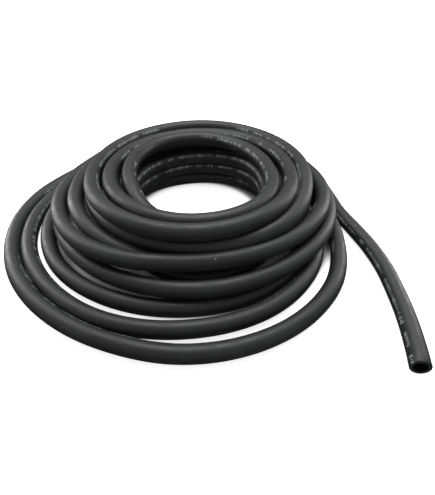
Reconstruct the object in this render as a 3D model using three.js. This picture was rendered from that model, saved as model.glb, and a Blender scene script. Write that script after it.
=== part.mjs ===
// Heater hose, one length of black rubber hose lying in a coil with one cut end led out in front.
// Millimetres, +Z up. The coil lies on the plane Z = 0, and its free end points towards -Y.
import * as THREE from "three";

// Hose section
const HOSE_DIAMETER = 23.4;
const HOSE_BORE = 15.9;
const SECTION_SIDES = 12;

// Main sizes of the coil, each a radius to a turn's centreline or a height
const STACK_RADIUS = 226;
const TOP_RADIUS = 166;
const EYE_RADIUS = 108;
const LAYER_RISE = 0.945 * HOSE_DIAMETER;
const SPREAD_RADIUS = 294.5;
const FREE_END_REACH = 311;
const FREE_END_BOW = 19.3;

// Outside of the stack, from the floor up: hose diameters in from the lowest turn, and layers up
const OUTER_TURNS = [[0, 0], [0.3, 1], [0.55, 2], [1.55, 2.75]];
// Top of the stack, from its outer turn inwards: hose diameters in from that turn
const TOP_TURNS = [0, 1.17, 2.35];
const TOP_LAYER = 3.5;
// Inside of the stack, from the top down: hose diameters out from the eye
const BORE_TURNS = [0.05, 0, 0.3];
const SEGMENTS_AROUND = 72;
const SEGMENTS_PER_TURN = 5;

// Loose turns on the floor: degrees round the coil from +X, then how far the turn has left the stack,
// from 0 beside the stack to 1 at the coil's full spread
const OUTER_LOOSE_TURN = [
  [12, 0.16], [45, 0.17], [90, 0.17], [112, 0.19], [135, 0.26], [147, 0.37], [158, 0.58], [172, 0.74],
  [184, 0.9], [210, 1], [240, 0.98], [270, 1], [293, 0.82], [308, 0.53], [320, 0.26], [330, 0.02],
];
const INNER_LOOSE_TURN = [
  [158, 0], [172, 0.14], [184, 0.285], [196, 0.34], [225, 0.355], [247, 0.33], [270, 0.22], [285, 0.09], [298, 0],
];

// Free end, from the cut to where it joins the coil: how far it bows out from beside the stack, as a share
// of FREE_END_BOW, and how far it lies in front of the coil's axis, as a share of FREE_END_REACH
const FREE_END = [
  [0.275, 1], [0.456, 0.945], [0.69, 0.859], [0.9, 0.749], [1, 0.621], [1, 0.489], [0.74, 0.341],
  [0.44, 0.199], [0.3, 0.064],
];

// Room left between faces that touch
const CONTACT_GAP = 0.3;
// Length of hose for each step along a tube
const STEP_LENGTH = 2.5 * HOSE_DIAMETER;

const HOSE_RADIUS = HOSE_DIAMETER / 2;
const BORE_RADIUS = HOSE_BORE / 2;

const rubber = () => new THREE.MeshStandardMaterial({ color: 0x1c1d1e, roughness: 0.62, metalness: 0 });

// Points along the arc of one turn's section, from the side facing the turn before it
// to the side facing the turn after it, the way round that looks out of the coil.
function turnArc(turn, before, after) {
  const start = Math.atan2(before.height - turn.height, before.radius - turn.radius);
  const end = Math.atan2(after.height - turn.height, after.radius - turn.radius);
  const sweep = THREE.MathUtils.euclideanModulo(end - start, 2 * Math.PI);
  const points = [];
  for (let i = 0; i <= SEGMENTS_PER_TURN; i += 1) {
    const angle = start + (sweep * i) / SEGMENTS_PER_TURN;
    points.push(new THREE.Vector2(
      turn.radius + HOSE_RADIUS * Math.cos(angle),
      turn.height + HOSE_RADIUS * Math.sin(angle),
    ));
  }
  return points;
}

// Centre of a turn's section, from its radius and its number of layers above the lowest one
const turnAt = (radius, layer) => ({ radius, height: HOSE_RADIUS + layer * LAYER_RISE });

// Closed outline of the stack: round turns outside, on top and down the bore, and a flat underside.
function stackOutline() {
  const inside = (i) => TOP_LAYER * (1 - (i + 1) / BORE_TURNS.length);
  const turns = [
    ...OUTER_TURNS.map(([inset, layer]) => turnAt(STACK_RADIUS - inset * HOSE_DIAMETER, layer)),
    ...TOP_TURNS.map((inset) => turnAt(TOP_RADIUS - inset * HOSE_DIAMETER, TOP_LAYER)),
    ...BORE_TURNS.map((outset, i) => turnAt(EYE_RADIUS + outset * HOSE_DIAMETER, inside(i))),
  ];
  const first = turns[0];
  const last = turns[turns.length - 1];
  const below = (turn) => ({ radius: turn.radius, height: turn.height - HOSE_RADIUS });
  const points = turns.flatMap((turn, i) => turnArc(turn, turns[i - 1] ?? below(first), turns[i + 1] ?? below(last)));
  const outline = points.filter((point, i) => i === 0 || point.distanceTo(points[i - 1]) > CONTACT_GAP);
  outline.push(outline[0].clone());
  return outline;
}

function stackedTurns() {
  const geometry = new THREE.LatheGeometry(stackOutline(), SEGMENTS_AROUND);
  geometry.rotateX(Math.PI / 2);
  const mesh = new THREE.Mesh(geometry, rubber());
  mesh.name = "stacked_turns";
  return mesh;
}

const onFloor = (x, y) => new THREE.Vector3(x, y, HOSE_RADIUS);

// Radius at which a hose on the floor lies against the lowest turn of the stack
const alongsideStack = STACK_RADIUS + HOSE_DIAMETER + CONTACT_GAP;

function loosePoint([degrees, spread]) {
  const angle = THREE.MathUtils.degToRad(degrees);
  const radius = alongsideStack + spread * (SPREAD_RADIUS - alongsideStack);
  return onFloor(radius * Math.cos(angle), radius * Math.sin(angle));
}

const freeEndPoint = ([bow, reach]) => onFloor(alongsideStack + bow * FREE_END_BOW, -reach * FREE_END_REACH);

// Ring section of the hose, wall and bore
function hoseSection() {
  const section = new THREE.Shape().absarc(0, 0, HOSE_RADIUS, 0, 2 * Math.PI);
  section.holes.push(new THREE.Path().absarc(0, 0, BORE_RADIUS, 0, 2 * Math.PI, true));
  return section;
}

function looseHose(name, points) {
  const path = new THREE.CatmullRomCurve3(points);
  const geometry = new THREE.ExtrudeGeometry(hoseSection(), {
    steps: Math.ceil(path.getLength() / STEP_LENGTH),
    // a full circle in a path takes two points for each curve segment
    curveSegments: SECTION_SIDES / 2,
    extrudePath: path,
  });
  const mesh = new THREE.Mesh(geometry, rubber());
  mesh.name = name;
  return mesh;
}

const outerLooseTurn = looseHose("outer_loose_turn_and_end", [
  ...FREE_END.map(freeEndPoint),
  ...OUTER_LOOSE_TURN.map(loosePoint),
]);
const innerLooseTurn = looseHose("inner_loose_turn", INNER_LOOSE_TURN.map(loosePoint));

const heaterHose = new THREE.Group();
heaterHose.add(stackedTurns(), outerLooseTurn, innerLooseTurn);

// The origin is the middle of the whole on the floor.
const box = new THREE.Box3().setFromObject(heaterHose);
const middle = box.getCenter(new THREE.Vector3());
heaterHose.position.set(-middle.x, -middle.y, -box.min.z);

export default heaterHose;
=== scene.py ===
"""Heater hose: one length of black rubber hose lying in a coil, with one cut end led out in front."""

import logging
import math
from dataclasses import dataclass, field
from enum import Enum
from functools import reduce

import bpy
import numpy as np
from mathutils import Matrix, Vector

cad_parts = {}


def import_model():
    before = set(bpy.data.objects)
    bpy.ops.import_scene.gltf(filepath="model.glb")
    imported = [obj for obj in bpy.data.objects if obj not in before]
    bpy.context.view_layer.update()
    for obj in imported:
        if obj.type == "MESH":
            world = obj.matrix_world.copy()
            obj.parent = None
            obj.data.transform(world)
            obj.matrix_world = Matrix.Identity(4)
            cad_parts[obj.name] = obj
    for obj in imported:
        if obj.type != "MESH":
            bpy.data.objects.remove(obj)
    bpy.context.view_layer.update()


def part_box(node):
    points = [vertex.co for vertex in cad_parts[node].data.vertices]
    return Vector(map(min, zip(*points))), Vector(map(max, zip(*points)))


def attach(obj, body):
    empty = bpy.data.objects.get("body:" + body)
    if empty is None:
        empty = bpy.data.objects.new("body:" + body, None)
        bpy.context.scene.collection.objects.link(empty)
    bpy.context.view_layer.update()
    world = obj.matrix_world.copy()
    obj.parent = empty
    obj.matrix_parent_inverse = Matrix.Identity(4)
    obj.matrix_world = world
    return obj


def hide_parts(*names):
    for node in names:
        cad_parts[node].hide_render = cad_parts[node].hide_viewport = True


log = logging.getLogger("heater_hose")

Triple = tuple[float, float, float]
Socket = bpy.types.NodeSocket


class Slot(Enum):
    """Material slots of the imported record."""

    HOSE = "hose_rubber"


class FarEnd(Enum):
    """What is on the hose's free end."""

    BARE = "bare"


@dataclass(frozen=True)
class HoseSize:
    """The hose's own measures, in metres."""

    diameter: float = 0.0234
    bore: float = 0.0159
    length: float = 15.24
    edge_round: float = 0.0006


@dataclass(frozen=True)
class Pattern:
    """A noise: its cells for each metre, its octaves, and how strong the finer octaves are."""

    cells: float
    detail: float
    roughness: float


@dataclass(frozen=True)
class Streaks(Pattern):
    """A noise that is drawn out along the hose: it has more cells for each metre round the section."""

    around: float


@dataclass(frozen=True)
class Specks:
    """Dots in some cells of a pattern: its cells for each metre, and the share of them left bare.

    Core and edge are a dot's radii as shares of a cell. The lot is the colour channel that picks the cells.
    """

    cells: float
    core: float
    edge: float
    strength: float
    bare: float
    lot: int


@dataclass(frozen=True)
class PrintLine:
    """A worn line of plain dashes along the hose. Lengths are metres, angles go round the section."""

    grey: Triple = (0.20, 0.215, 0.22)
    strength: float = 0.8
    angle: float = math.radians(142.0)
    end_turn: float = math.radians(11.0)
    end_from: float = 0.1
    end_to: float = 1.0
    half_height: float = 0.0027
    least_height: float = 0.4
    dash_pitch: float = 0.0037
    least_dash: float = 0.35
    longest_dash: float = 0.80
    dashes_in_word: float = 3.0
    blank_words: float = 0.2
    group_pitch: float = 0.62
    group_share: float = 0.74


@dataclass(frozen=True)
class RubberFinish:
    """Looks of the extruded rubber. Lengths are metres, colours linear."""

    dark: Triple = (0.0046, 0.0066, 0.0069)
    light: Triple = (0.0090, 0.0124, 0.0130)
    scuffed: float = 2.0
    dust: Triple = (0.20, 0.20, 0.196)
    roughness_low: float = 0.44
    roughness_high: float = 0.60
    refraction: float = 1.52
    shine: float = 0.38
    grain_depth: float = 0.00012
    streak_depth: float = 0.00022
    mottle: Pattern = Pattern(42.0, 4.0, 0.6)
    bloom: Pattern = Pattern(9.0, 2.0, 0.5)
    grain: Pattern = Pattern(1900.0, 2.0, 0.6)
    streak: Streaks = Streaks(14.0, 3.0, 0.6, around=1100.0)
    scuff: Streaks = Streaks(60.0, 6.0, 0.75, around=220.0)
    coarse_dust: Specks = Specks(46.0, 0.030, 0.058, 1.0, 0.80, lot=0)
    fine_dust: Specks = Specks(150.0, 0.05, 0.10, 0.38, 0.90, lot=1)
    print_line: PrintLine = PrintLine()


@dataclass(frozen=True)
class CutFinish:
    """Looks of a cut face: black rubber with pale crumbs, and the blade's marks across it."""

    dark: Triple = RubberFinish.dark
    pale: Triple = tuple(3.0 * c for c in RubberFinish.light)
    roughness_low: float = 0.62
    roughness_high: float = 0.8
    shine: float = 0.15
    mark_depth: float = 0.0003
    marks: float = 260.0
    crumb: Pattern = Pattern(900.0, 4.0, 0.7)


@dataclass(frozen=True)
class Glow:
    """A painted glow of the floor, light that stands in where shade falls, which changes between two
    distances from the coil's axis.
    """

    start: float
    end: float
    nearer: float
    farther: float


@dataclass(frozen=True)
class FloorFinish:
    """Looks of the pale floor, whose own painted glow lights away the shade between the loose turns, in the
    hole and all round them, and leaves the floor under the stack unlit so that it stays dark.
    """

    half_width: float = 14.0
    drop: float = 0.0002
    pale: Triple = (0.92, 0.92, 0.92)
    dull: Triple = (0.90, 0.90, 0.90)
    cloud: Pattern = Pattern(3.0, 2.0, 0.5)
    roughness: float = 0.9
    shine: float = 0.1
    # painted light: glows that light the floor's shade beside the coil, in its open centre and far out
    beside: Glow = Glow(0.226, 0.240, nearer=0.0, farther=0.75)
    open_centre: Glow = Glow(0.098, 0.112, nearer=0.7, farther=0.0)
    far: Glow = Glow(0.30, 1.1, nearer=0.0, farther=0.25)


@dataclass(frozen=True)
class SkyFinish:
    """Pale light from above, which falls off to a dark share of itself just under the horizon."""

    strength: float = 0.48
    dark_share: float = 0.06
    half_band: float = 0.04


@dataclass(frozen=True)
class Softbox:
    """One soft rectangular light: its place and the point it faces, from the coil's axis on the floor."""

    name: str
    place: Triple
    aim: Triple
    width: float
    depth: float
    watts: float


@dataclass(frozen=True)
class CameraPlace:
    """Where the photograph was taken from, measured from the coil's axis on the floor."""

    beside_axis: float = 0.0353
    before_axis: float = -0.5453
    height: float = 0.373
    pitch_down: float = math.radians(39.5)
    focal_pixels: float = 380.0
    frame_width_pixels: float = 435.0
    sensor_width: float = 36.0


SOFTBOXES = (
    Softbox("top_light", (0.0, 0.4, 1.5), (0.0, 0.0, 0.0), 1.3, 0.8, 27.0),
    Softbox("left_light", (-1.3, 0.6, 0.5), (0.0, 0.0, 0.05), 0.4, 1.2, 15.0),
    Softbox("right_light", (1.3, 0.7, 0.5), (0.0, 0.0, 0.05), 0.4, 1.2, 12.0),
)

# Rounded edge of a cut end, ring by ring: shares of the round, along the hose and in from its side
EDGE_ROUND = ((0.0, 1.0), (0.3, 0.3), (1.0, 0.0))

# Degrees between two points of the winding, and how many of them make one step of the joined line
WINDING_STEP = 0.5
WINDING_POINTS_A_STEP = 4

# Free end on the floor, from the cut to the coil: X and Y from the coil's axis
FREE_END = (
    (0.255, -0.311), (0.2585, -0.294), (0.263, -0.267), (0.267, -0.233), (0.269, -0.193), (0.269, -0.152),
    (0.263, -0.106), (0.252, -0.062), (0.241, -0.024),
)

# The winding: degrees round the coil from +X, then radius from the axis and height of the centreline
OUTER_LOOSE_TURN = (
    (12, 0.236, 0.0117), (45, 0.245, 0.0117), (90, 0.250, 0.0117), (112, 0.252, 0.0117),
    (135, 0.257, 0.0117), (147, 0.262, 0.0117), (160, 0.2705, 0.0117), (172, 0.281, 0.0117),
    (184, 0.2878, 0.0117), (210, 0.2918, 0.0117), (240, 0.2912, 0.0117), (252, 0.2916, 0.0117),
    (270, 0.294, 0.0117), (293, 0.286, 0.0117), (315, 0.266, 0.0117), (337, 0.236, 0.0117),
)
INNER_LOOSE_TURN = (
    (360, 0.214, 0.0117), (400, 0.210, 0.0117), (450, 0.219, 0.0117), (475, 0.227, 0.0117),
    (495, 0.233, 0.0117), (507, 0.239, 0.0117), (520, 0.248, 0.0117), (532, 0.257, 0.0117),
    (544, 0.264, 0.0117), (556, 0.2674, 0.0117), (585, 0.2682, 0.0117), (607, 0.2674, 0.0117),
    (630, 0.2595, 0.0117), (655, 0.247, 0.0117), (680, 0.223, 0.0117), (700, 0.199, 0.0117),
)
LOWEST_STACKED_TURN = (
    (720, 0.175, 0.0117), (765, 0.180, 0.0117), (810, 0.195, 0.0117), (835, 0.202, 0.0117),
    (855, 0.210, 0.0117), (867, 0.218, 0.0117), (880, 0.228, 0.0117), (892, 0.2345, 0.0117),
    (904, 0.2380, 0.0117), (918, 0.2398, 0.0117), (938, 0.2396, 0.0117), (960, 0.2345, 0.0117),
    (990, 0.2265, 0.0117), (1010, 0.220, 0.0117), (1035, 0.203, 0.0117), (1058, 0.176, 0.0117),
)
LEANING_TURN = (
    (1080, 0.151, 0.0117), (1110, 0.151, 0.015), (1140, 0.161, 0.022), (1180, 0.183, 0.0315),
    (1215, 0.204, 0.0335), (1255, 0.216, 0.0325), (1290, 0.2155, 0.032), (1315, 0.215, 0.032),
    (1333, 0.215, 0.0330), (1350, 0.216, 0.0334), (1395, 0.214, 0.034),
)
SHOULDER_TURN = (
    (1440, 0.217, 0.0345), (1485, 0.219, 0.038), (1530, 0.214, 0.047), (1560, 0.210, 0.053),
    (1580, 0.205, 0.056), (1597, 0.201, 0.0563), (1612, 0.206, 0.0563), (1632, 0.2125, 0.056),
    (1665, 0.2105, 0.0562), (1710, 0.192, 0.0575), (1755, 0.197, 0.057),
)
INSIDE_SHOULDER_TURN = (
    (1800, 0.203, 0.056), (1820, 0.197, 0.0563), (1845, 0.199, 0.057), (1890, 0.195, 0.060),
    (1935, 0.184, 0.065), (1980, 0.1845, 0.0665), (2015, 0.1885, 0.0635), (2035, 0.186, 0.055),
    (2070, 0.175, 0.042), (2115, 0.175, 0.050),
)
UNDER_TOP_TURN = (
    (2160, 0.173, 0.065), (2250, 0.167, 0.065), (2340, 0.1605, 0.067), (2372, 0.164, 0.0675),
    (2400, 0.167, 0.0665), (2430, 0.172, 0.0655), (2475, 0.180, 0.074),
)
OUTER_TOP_TURN = (
    (2520, 0.168, 0.089), (2540, 0.165, 0.089), (2565, 0.164, 0.089), (2610, 0.1645, 0.089),
    (2632, 0.1605, 0.089), (2655, 0.157, 0.089), (2675, 0.1545, 0.089), (2700, 0.1555, 0.089),
    (2745, 0.165, 0.089), (2790, 0.171, 0.0885), (2835, 0.163, 0.089),
)
MIDDLE_TOP_TURN = (
    (2880, 0.145, 0.089), (2925, 0.136, 0.089), (2970, 0.129, 0.0875), (3015, 0.126, 0.088),
    (3060, 0.129, 0.089), (3105, 0.139, 0.089), (3150, 0.148, 0.0875), (3195, 0.140, 0.088),
)
INNER_TOP_TURN = (
    (3240, 0.113, 0.089), (3285, 0.103, 0.090), (3330, 0.105, 0.0912), (3375, 0.1035, 0.0912),
    (3420, 0.101, 0.0912), (3455, 0.1085, 0.084), (3480, 0.1215, 0.073), (3510, 0.134, 0.066),
    (3555, 0.137, 0.066),
)
HIDDEN_TURN = (
    (3600, 0.137, 0.066), (3690, 0.137, 0.065), (3780, 0.128, 0.0645), (3825, 0.135, 0.057),
    (3870, 0.151, 0.0485), (3915, 0.131, 0.045),
)
HIGH_BORE_TURN = (
    (3960, 0.113, 0.061), (4050, 0.105, 0.0547), (4140, 0.106, 0.053), (4172, 0.110, 0.0535),
    (4200, 0.124, 0.044), (4230, 0.140, 0.030), (4275, 0.131, 0.0235),
)
MIDDLE_BORE_TURN = (
    (4320, 0.115, 0.039), (4410, 0.106, 0.0338), (4500, 0.110, 0.0335), (4530, 0.128, 0.0335),
    (4560, 0.158, 0.026), (4590, 0.178, 0.0185), (4635, 0.156, 0.014),
)
FLOOR_BORE_TURN = (
    (4680, 0.128, 0.0117), (4706, 0.124, 0.0117), (4735, 0.118, 0.0117), (4770, 0.107, 0.0117),
    (4795, 0.107, 0.0117), (4815, 0.112, 0.0117), (4831, 0.117, 0.0117), (4860, 0.120, 0.0117),
    (4905, 0.120, 0.0117), (4950, 0.118, 0.0117), (4975, 0.116, 0.0117),
)
WINDING = (
    OUTER_LOOSE_TURN + INNER_LOOSE_TURN + LOWEST_STACKED_TURN + LEANING_TURN + SHOULDER_TURN
    + INSIDE_SHOULDER_TURN + UNDER_TOP_TURN + OUTER_TOP_TURN + MIDDLE_TOP_TURN + INNER_TOP_TURN
    + HIDDEN_TURN + HIGH_BORE_TURN + MIDDLE_BORE_TURN + FLOOR_BORE_TURN
)


def smooth_through(stations: np.ndarray, values: np.ndarray, wanted: np.ndarray) -> np.ndarray:
    """Pass a smooth curve through unevenly spaced stations.

    Each span is a cubic. Its slope at a station is the mean of the slopes on both sides, each
    weighted by the length of the other side's span.

    Args:
        stations: N rising positions.
        values: N rows, one for each station.
        wanted: M positions between the first and the last station.

    Returns:
        M rows of values.
    """
    span = np.diff(stations)[:, None]
    slope = np.diff(values, axis=0) / span
    tangent = np.empty_like(values)
    tangent[0], tangent[-1] = slope[0], slope[-1]
    tangent[1:-1] = (slope[:-1] * span[1:] + slope[1:] * span[:-1]) / (span[1:] + span[:-1])
    i = np.clip(np.searchsorted(stations, wanted, side="right") - 1, 0, len(stations) - 2)
    h = span[i]
    t = (wanted - stations[i])[:, None] / h
    t2, t3 = t**2, t**3
    return (
        (2 * t3 - 3 * t2 + 1) * values[i]
        + (t3 - 2 * t2 + t) * h * tangent[i]
        + (3 * t2 - 2 * t3) * values[i + 1]
        + (t3 - t2) * h * tangent[i + 1]
    )


def along(points: np.ndarray) -> np.ndarray:
    """Length from the first point to each point.

    Args:
        points: N by 3 points of a line.

    Returns:
        N lengths, the first of them 0.
    """
    return np.concatenate([[0.0], np.cumsum(np.linalg.norm(np.diff(points, axis=0), axis=1))])


def unit(direction: np.ndarray) -> np.ndarray:
    """Bring a direction, or the direction in each row, to length 1."""
    return direction / np.linalg.norm(direction, axis=-1, keepdims=True)


def coil_route(axis: Vector, height: float, spacing: float) -> np.ndarray:
    """Centreline of the whole hose, from the cut end in front to the inner end under the coil.

    The coil is worked out in polar form, radius and height over the angle. The free end is set
    before it, and the joined line is made smooth again at an even spacing.

    Args:
        axis: the coil's axis in the row frame.
        height: height of a centreline that lies on the floor.
        spacing: length from one point to the next.

    Returns:
        N by 3 points.
    """
    table = np.array(WINDING, float)
    degrees = np.arange(table[0, 0], table[-1, 0], WINDING_STEP)
    radius, up = smooth_through(table[:, 0], table[:, 1:], degrees).T
    turn = np.radians(degrees)
    coil = np.stack([radius * np.cos(turn), radius * np.sin(turn), up], axis=1)
    free = np.array([(x, y, height) for x, y in FREE_END])
    rough = np.concatenate([free, coil[::WINDING_POINTS_A_STEP]])
    length = along(rough)
    points = smooth_through(length, rough, np.linspace(0.0, length[-1], round(length[-1] / spacing)))
    return points + np.array([axis.x, axis.y, 0.0])


def tube_faces(first: int, rings: int, sides: int, inwards: bool) -> list[list[int]]:
    """Quads of a tube whose rings of vertices follow each other.

    A quad joins two neighbours of a ring to the same two of the next ring.

    Args:
        first: the tube's first vertex.
        rings: how many rings it has.
        sides: vertices on a ring.
        inwards: whether the faces look at the tube's middle.

    Returns:
        The corners of each quad.
    """
    ring = first + np.arange(rings - 1)[:, None] * sides
    here = np.arange(sides)[None, :]
    beside = (here + 1) % sides
    corners = [ring + here, ring + beside, ring + sides + beside, ring + sides + here]
    if inwards:
        corners = [corners[0], *corners[:0:-1]]
    return np.stack(corners, axis=-1).reshape(-1, 4).tolist()


class Nodes:
    """A node tree, with short calls to add to it."""

    def __init__(self, tree: bpy.types.NodeTree) -> None:
        """Take the tree that is added to."""
        self.tree = tree

    def add(self, kind: str, inputs: dict | None = None, **facts) -> bpy.types.Node:
        """Add a node.

        Args:
            kind: its Blender type without the ShaderNode prefix.
            inputs: socket name or number to a value, or to an output socket to link.
            facts: attributes of the node.

        Returns:
            The node.
        """
        node = self.tree.nodes.new("ShaderNode" + kind)
        for name, value in facts.items():
            setattr(node, name, value)
        for name, value in (inputs or {}).items():
            if isinstance(value, Socket):
                self.tree.links.new(value, node.inputs[name])
            else:
                node.inputs[name].default_value = value
        return node

    def maths(self, operation: str, *values: Socket | float) -> Socket:
        """Add a Math node.

        Args:
            operation: what it does.
            values: numbers or sockets.

        Returns:
            Its output.
        """
        return self.add("Math", dict(enumerate(values)), operation=operation).outputs[0]

    def times(self, first: Socket | float, second: Socket | float) -> Socket:
        """Multiply two numbers."""
        return self.maths("MULTIPLY", first, second)

    def plus(self, first: Socket | float, second: Socket | float) -> Socket:
        """Add two numbers."""
        return self.maths("ADD", first, second)

    def ranged(self, value: Socket, low: float, high: float, to_low: float, to_high: float) -> Socket:
        """Map a range onto another, smoothly and clamped.

        Args:
            value: the socket that is mapped.
            low: where the range starts.
            high: where it ends.
            to_low: result at its start.
            to_high: result at its end.

        Returns:
            The result's socket.
        """
        inputs = {"Value": value, "From Min": low, "From Max": high, "To Min": to_low, "To Max": to_high}
        return self.add("MapRange", inputs, interpolation_type="SMOOTHSTEP").outputs[0]

    def blend(self, first: Socket, share: float, second: Socket) -> Socket:
        """Add a pattern by its share and a second one by what is left of 1."""
        return self.plus(self.times(first, share), self.times(second, 1.0 - share))


class Material(Nodes):
    """A material's node tree, with the coordinates and patterns that its surface uses."""

    def __init__(self, name: str) -> None:
        """Start an empty material.

        Args:
            name: the material's name.
        """
        self.material = bpy.data.materials.new(name)
        self.material.use_nodes = True
        super().__init__(self.material.node_tree)
        self.tree.nodes.clear()
        self.place = self.add("TexCoord").outputs["Object"]

    def noise(self, pattern: Pattern, counted: Socket | None = None) -> Socket:
        """Add a noise pattern.

        Args:
            pattern: the pattern.
            counted: coordinates that are counted in its cells, or none for the object's own.

        Returns:
            Its value's socket.
        """
        inputs = {"Vector": self.place, "Scale": pattern.cells}
        if counted is not None:
            inputs = {"Vector": counted, "Scale": 1.0}
        inputs |= {"Detail": pattern.detail, "Roughness": pattern.roughness}
        return self.add("TexNoise", inputs).outputs[0]

    def mixed(self, amount: Socket, first: Socket | Triple, second: Socket | Triple) -> Socket:
        """Mix two colours.

        Args:
            amount: how much of the second.
            first: a colour or socket.
            second: a colour or socket.

        Returns:
            The mixed colour's socket.
        """
        node = self.add("Mix", {0: amount}, data_type="RGBA")
        for number, value in ((6, first), (7, second)):
            if isinstance(value, Socket):
                self.tree.links.new(value, node.inputs[number])
            else:
                node.inputs[number].default_value = (*value, 1.0)
        return node.outputs[2]

    def bump(self, height: Socket, strength: float, depth: float, under: Socket | None = None) -> Socket:
        """Raise the surface a little by a pattern.

        Args:
            height: the pattern.
            strength: how much of it shows.
            depth: its depth in metres.
            under: the normal of a bump that it lies on.

        Returns:
            The normal's socket.
        """
        inputs = {"Strength": strength, "Distance": depth, "Height": height}
        if under is not None:
            inputs["Normal"] = under
        return self.add("Bump", inputs).outputs[0]

    def surface(self, inputs: dict) -> bpy.types.Material:
        """Join a surface shader to the output.

        Args:
            inputs: socket names of the shader to values or sockets.

        Returns:
            The material.
        """
        shader = self.add("BsdfPrincipled", inputs)
        self.add("OutputMaterial", {"Surface": shader.outputs[0]})
        return self.material


class RubberSkin(Material):
    """Extruded black rubber: fine streaks, mottled bloom, grain, dust and a worn print line.

    The hose's UV map is in metres: U is the length along the hose and V the way round its section.
    """

    def __init__(self, finish: RubberFinish, size: HoseSize) -> None:
        """Start the material with the patterns that several of its parts share.

        Args:
            finish: the rubber's looks.
            size: the hose's measures.
        """
        super().__init__("hose_rubber")
        self.finish, self.size = finish, size
        split = self.add("SeparateXYZ", {0: self.add("UVMap", uv_map="hose").outputs[0]})
        self.length, self.girth = split.outputs[0], split.outputs[1]
        self.mottle, self.scuff = self.noise(finish.mottle), self.streaks(finish.scuff)

    def streaks(self, pattern: Streaks) -> Socket:
        """A pattern that is drawn out along the hose, on its UV map."""
        parts = {0: self.times(self.length, pattern.cells), 1: self.times(self.girth, pattern.around)}
        return self.noise(pattern, self.add("CombineXYZ", parts).outputs[0])

    def body(self) -> Socket:
        """Black that is mottled in patches, and paler where it is scuffed.

        Returns:
            The colour's socket.
        """
        light = self.finish.light
        tone = self.blend(self.mottle, 0.4, self.noise(self.finish.bloom))
        mottled = self.mixed(self.ranged(tone, 0.36, 0.64, 0.0, 1.0), self.finish.dark, light)
        pale = tuple(self.finish.scuffed * c for c in light)
        return self.mixed(self.ranged(self.scuff, 0.54, 0.72, 0.0, 0.55), mottled, pale)

    def dots(self, specks: Specks) -> Socket:
        """Where specks of dust lie.

        Args:
            specks: the kind of speck.

        Returns:
            The specks' strength, 0 between them.
        """
        cells = self.add("TexVoronoi", {"Vector": self.place, "Scale": specks.cells, "Randomness": 1.0})
        chance = self.add("SeparateColor", {0: cells.outputs["Color"]}).outputs[specks.lot]
        dot = self.ranged(cells.outputs["Distance"], specks.core, specks.edge, specks.strength, 0.0)
        return self.times(dot, self.maths("GREATER_THAN", chance, specks.bare))

    def chance(self, step: Socket) -> Socket:
        """A random number for each whole step."""
        whole = {"W": self.maths("FLOOR", step)}
        return self.add("TexWhiteNoise", whole, noise_dimensions="1D").outputs["Value"]

    def printed(self) -> Socket:
        """The print line: plain dashes of uneven length and height in words and groups, worn in places.

        Returns:
            How much print there is, 0 beside it.
        """
        line = self.finish.print_line
        end_turn = self.ranged(self.length, line.end_from, line.end_to, line.end_turn, 0.0)
        middle = self.times(self.plus(end_turn, line.angle), self.size.diameter / 2)
        away = self.maths("ABSOLUTE", self.maths("SUBTRACT", self.girth, middle))
        step = self.maths("DIVIDE", self.length, line.dash_pitch)
        chance = self.chance(step)
        tall = self.plus(self.times(chance, 1.0 - line.least_height), line.least_height)
        wide = self.plus(self.times(chance, line.longest_dash - line.least_dash), line.least_dash)
        in_line = self.maths("LESS_THAN", away, self.times(tall, line.half_height))
        in_dash = self.maths("LESS_THAN", self.maths("FRACT", step), wide)
        word = self.chance(self.maths("DIVIDE", step, line.dashes_in_word))
        in_word = self.maths("GREATER_THAN", word, line.blank_words)
        group = self.maths("FRACT", self.maths("DIVIDE", self.length, line.group_pitch))
        in_group = self.maths("LESS_THAN", group, line.group_share)
        worn = self.ranged(self.scuff, 0.34, 0.54, 0.1, 1.0)
        dashes = self.times(self.times(in_line, in_dash), in_word)
        return self.times(dashes, self.times(in_group, worn))

    def build(self) -> bpy.types.Material:
        """Join the colour, the roughness and the two bumps.

        Returns:
            The material.
        """
        finish = self.finish
        dust = self.maths("MAXIMUM", self.dots(finish.coarse_dust), self.dots(finish.fine_dust))
        dusty = self.mixed(dust, self.body(), finish.dust)
        line = finish.print_line
        wear = self.blend(self.scuff, 0.6, self.mottle)
        grain = self.bump(self.noise(finish.grain), 0.22, finish.grain_depth)
        return self.surface({
            "Base Color": self.mixed(self.times(self.printed(), line.strength), dusty, line.grey),
            "Roughness": self.ranged(wear, 0.36, 0.64, finish.roughness_low, finish.roughness_high),
            "IOR": finish.refraction,
            "Specular IOR Level": finish.shine,
            "Normal": self.bump(self.streaks(finish.streak), 0.35, finish.streak_depth, grain),
        })


class CutFace(Material):
    """The sawn rubber of a cut end: rougher than the skin, with crumbs and the blade's marks."""

    def __init__(self, finish: CutFinish) -> None:
        """Start the material.

        Args:
            finish: the cut's looks.
        """
        super().__init__("hose_cut_face")
        self.finish = finish

    def build(self) -> bpy.types.Material:
        """Join the crumbs and the marks.

        Returns:
            The material.
        """
        finish = self.finish
        waves = {"Vector": self.place, "Scale": finish.marks, "Distortion": 2.5}
        waves |= {"Detail": 2.0, "Detail Scale": 2.0}
        marks = self.add("TexWave", waves, wave_type="BANDS", bands_direction="X").outputs["Fac"]
        crumb = self.noise(finish.crumb)
        return self.surface({
            "Base Color": self.mixed(self.ranged(crumb, 0.45, 0.70, 0.0, 1.0), finish.dark, finish.pale),
            "Roughness": self.ranged(crumb, 0.3, 0.7, finish.roughness_low, finish.roughness_high),
            "Specular IOR Level": finish.shine,
            "Normal": self.bump(self.blend(marks, 0.5, crumb), 0.5, finish.mark_depth),
        })


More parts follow.
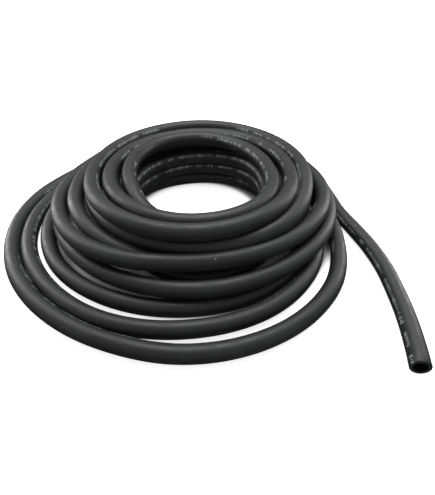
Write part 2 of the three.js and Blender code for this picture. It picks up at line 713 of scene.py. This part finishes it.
@dataclass
class Hose:
    """The whole hose as one tube: its skin, its bore and both cut faces."""

    size: HoseSize
    finish: RubberFinish
    cut: CutFinish
    axis: Vector
    sides: int = 32
    bore_sides: int = 16
    ring_spacing: float = 0.0092
    route: np.ndarray = field(init=False)

    def __post_init__(self) -> None:
        """Work out the centreline."""
        self.route = coil_route(self.axis, self.size.diameter / 2, self.ring_spacing)
        log.info("route of %d points, %.3f m", len(self.route), along(self.route)[-1])

    def rings(self, radius: np.ndarray, sides: int, centres: np.ndarray, owner: np.ndarray) -> np.ndarray:
        """Points of a tube, ring after ring.

        The route's direction is crossed with straight up, which gives the level direction away from
        the coil's axis, and that is crossed with the route's direction, which gives the one that
        leans up. A point is its centre plus the radius times the level direction by the cosine and
        the upward direction by the sine of its angle.

        Args:
            radius: radius of each ring.
            sides: points on a ring.
            centres: the rings' centres.
            owner: the route's point that gives each ring its directions.

        Returns:
            The points, three numbers in each row.
        """
        forward = unit(np.gradient(self.route, axis=0))
        level = unit(np.cross(forward, (0.0, 0.0, 1.0)))
        upward = np.cross(level, forward)[owner][:, None, :]
        angle = np.linspace(0.0, 2 * np.pi, sides, endpoint=False)[None, :, None]
        across = np.cos(angle) * level[owner][:, None, :] + np.sin(angle) * upward
        return (centres[:, None, :] + radius[:, None, None] * across).reshape(-1, 3)

    def skin_rings(self) -> tuple[np.ndarray, np.ndarray, np.ndarray]:
        """Place the rings of the skin, with those of each end's rounded edge.

        Returns:
            The rings' centres, their radii, and the route's point that each belongs to.
        """
        route, last = self.route, len(self.route) - 1
        deep, inset = self.size.edge_round * np.array(EDGE_ROUND).T
        steps = len(deep)
        head = route[0] + deep[:, None] * unit(route[1] - route[0])
        tail = (route[-1] - deep[:, None] * unit(route[-1] - route[-2]))[::-1]
        centres = np.concatenate([head, route[1:-1], tail])
        radius = np.full(len(centres), self.size.diameter / 2)
        radius[:steps] -= inset
        radius[-steps:] -= inset[::-1]
        owner = np.concatenate([np.zeros(steps, int), np.arange(1, last), np.full(steps, last)])
        return centres, radius, owner

    def cut_faces(self, skin: int, bore: int, flip: bool) -> list[list[int]]:
        """Faces of a cut end, each from one side of the bore to the two sides of the skin beyond it.

        Args:
            skin: first vertex of the skin's last ring.
            bore: first vertex of the bore's last ring.
            flip: whether the corners run the other way round.

        Returns:
            The corners of each face.
        """
        k = np.arange(self.bore_sides)
        out = self.sides // self.bore_sides * k
        inner = [bore + k, bore + (k + 1) % self.bore_sides]
        outer = [skin + (out + 2) % self.sides, skin + out + 1, skin + out]
        faces = np.stack(inner + outer, axis=1)
        return (faces if flip else faces[:, ::-1]).tolist()

    def build(self) -> bpy.types.Object:
        """Make the mesh with its UV map and materials.

        The skin and the bore run the whole length. Each cut face is a ring of faces between them,
        with a small round at the skin's edge.

        Returns:
            The hose.
        """
        centres, radius, owner = self.skin_rings()
        rows, count = len(centres), len(self.route)
        bore_radius = np.full(count, self.size.bore / 2)
        skin = self.rings(radius, self.sides, centres, owner)
        bore = self.rings(bore_radius, self.bore_sides, self.route, np.arange(count))
        base = len(skin)
        cuts = self.cut_faces(0, base, False)
        cuts += self.cut_faces((rows - 1) * self.sides, base + (count - 1) * self.bore_sides, True)
        walls = tube_faces(0, rows, self.sides, False) + tube_faces(base, count, self.bore_sides, True)

        mesh = bpy.data.meshes.new("hose")
        mesh.from_pydata(np.concatenate([skin, bore]).tolist(), [], walls + cuts)
        mesh.materials.append(RubberSkin(self.finish, self.size).build())
        mesh.materials.append(CutFace(self.cut).build())
        on_cut = np.arange(len(mesh.polygons)) >= len(walls)
        mesh.polygons.foreach_set("material_index", on_cut.astype(np.int32))
        mesh.polygons.foreach_set("use_smooth", ~on_cut)
        self.unwrap(mesh, along(centres), base)
        mesh.update()
        obj = bpy.data.objects.new("hose", mesh)
        bpy.context.scene.collection.objects.link(obj)
        log.info("hose of %d faces", len(mesh.polygons))
        return obj

    def unwrap(self, mesh: bpy.types.Mesh, far: np.ndarray, base: int) -> None:
        """Lay the UV map out in metres: length along the hose by the way round it.

        Where a face crosses the seam at angle 0, its corners there get the full girth instead of 0.

        Args:
            mesh: the hose's mesh.
            far: length to each ring of the skin.
            base: first vertex of the bore.
        """
        corner = np.empty(len(mesh.loops), np.int32)
        mesh.loops.foreach_get("vertex_index", corner)
        totals = np.empty(len(mesh.polygons), np.int32)
        mesh.polygons.foreach_get("loop_total", totals)
        face_of = np.repeat(np.arange(len(totals)), totals)
        on_bore = corner >= base
        local = np.where(on_bore, corner - base, corner)
        sides = np.where(on_bore, self.bore_sides, self.sides)
        share = (local % sides) / sides
        lengths = along(self.route)
        ring = local // sides
        bore_u = lengths[np.minimum(ring, len(lengths) - 1)]
        u = np.where(on_bore, bore_u, far[np.minimum(ring, len(far) - 1)])
        high = np.zeros(len(totals))
        np.maximum.at(high, face_of, share)
        on_seam = (share == 0) & (high[face_of] > 0.6)
        share = np.where(on_seam, 1.0, share)
        v = share * math.pi * self.size.diameter
        layer = mesh.uv_layers.new(name="hose")
        layer.data.foreach_set("uv", np.stack([u, v], axis=1).astype(np.float32).ravel())


@dataclass
class Studio:
    """Pale floor, plain soft light and the photograph's camera."""

    axis: Vector
    camera: CameraPlace = CameraPlace()
    ground: FloorFinish = FloorFinish()
    sky: SkyFinish = SkyFinish()
    lamps: tuple[Softbox, ...] = SOFTBOXES

    def floor(self) -> None:
        """A wide plain floor just under the object, with a painted glow that lights the shade in the slits
        between the turns, in the hole and all round.
        """
        look = self.ground
        half, z = look.half_width, -look.drop
        mesh = bpy.data.meshes.new("studio_floor")
        corners = [(-half, -half, z), (half, -half, z), (half, half, z), (-half, half, z)]
        mesh.from_pydata(corners, [], [(0, 1, 2, 3)])
        n = Material("studio_floor")
        cloud = n.ranged(n.noise(look.cloud), 0.3, 0.7, 0.0, 1.0)
        far = n.add("VectorMath", {0: n.place, 1: tuple(self.axis)}, operation="DISTANCE").outputs["Value"]
        # painted light: the floor glows where shade falls, in the slits between the loose turns, in the
        # open centre and far out, where it also lights the hose's sides, and not under the stack
        painted_glows = (look.beside, look.open_centre, look.far)
        parts = [n.ranged(far, glow.start, glow.end, glow.nearer, glow.farther) for glow in painted_glows]
        mesh.materials.append(n.surface({
            "Base Color": n.mixed(cloud, look.dull, look.pale),
            "Roughness": look.roughness,
            "Specular IOR Level": look.shine,
            "Emission Color": (1.0, 1.0, 1.0, 1.0),
            "Emission Strength": reduce(n.plus, parts),
        }))
        obj = bpy.data.objects.new("studio_floor", mesh)
        bpy.context.scene.collection.objects.link(obj)
        # the black rubber mirrors no bright floor from below
        obj.visible_glossy = False

    def world(self) -> None:
        """Even pale light from above, fading out across the horizon."""
        sky = self.sky
        world = bpy.data.worlds.new("studio_world")
        world.use_nodes = True
        n = Nodes(world.node_tree)
        up = n.add("SeparateXYZ", {0: n.add("TexCoord").outputs["Generated"]}).outputs[2]
        band = {"Value": up, "From Min": -sky.half_band, "From Max": sky.half_band,
                "To Min": sky.dark_share * sky.strength, "To Max": sky.strength}
        back = world.node_tree.nodes["Background"]
        back.inputs["Color"].default_value = (1.0, 1.0, 1.0, 1.0)
        n.tree.links.new(n.add("MapRange", band).outputs[0], back.inputs["Strength"])
        bpy.context.scene.world = world

    def hang(self, lamp: Softbox) -> None:
        """Hang one soft rectangular light.

        Args:
            lamp: the light.
        """
        data = bpy.data.lights.new(lamp.name, "AREA")
        data.shape, data.size, data.size_y, data.energy = "RECTANGLE", lamp.width, lamp.depth, lamp.watts
        obj = bpy.data.objects.new(lamp.name, data)
        obj.location = Vector(lamp.place) + self.axis
        obj.rotation_mode = "QUATERNION"
        obj.rotation_quaternion = (Vector(lamp.aim) - Vector(lamp.place)).to_track_quat("-Z", "Y")
        bpy.context.scene.collection.objects.link(obj)

    def shoot(self) -> None:
        """Place the camera by its height, its place before the coil and its pitch."""
        c = self.camera
        data = bpy.data.cameras.new("photo_camera")
        data.sensor_width = c.sensor_width
        data.sensor_fit = "HORIZONTAL"
        data.lens = c.focal_pixels / c.frame_width_pixels * c.sensor_width
        obj = bpy.data.objects.new("photo_camera", data)
        obj.location = Vector((self.axis.x + c.beside_axis, self.axis.y + c.before_axis, c.height))
        obj.rotation_mode = "XYZ"
        obj.rotation_euler = (math.pi / 2 - c.pitch_down, 0.0, 0.0)
        bpy.context.scene.collection.objects.link(obj)
        bpy.context.scene.camera = obj

    def build(self) -> None:
        """Set everything up, with colours shown as they are so that white stays white."""
        bpy.context.scene.view_settings.view_transform = "Standard"
        self.shoot()
        self.floor()
        self.world()
        for lamp in self.lamps:
            self.hang(lamp)
        log.info("studio with %d lights", len(self.lamps))


def main() -> None:
    """Load the frame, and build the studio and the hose."""
    logging.basicConfig(level=logging.INFO)
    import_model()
    low, high = (Vector(corner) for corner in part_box("stacked_turns"))
    axis = Vector(((low.x + high.x) / 2, (low.y + high.y) / 2, 0.0))
    Studio(axis).build()
    size = HoseSize()
    hose = Hose(size, RubberFinish(), CutFinish(), axis)
    piece = hose.build()
    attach(piece, "root")
    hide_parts("stacked_turns", "outer_loose_turn_and_end", "inner_loose_turn")


if __name__ == "__main__":
    main()
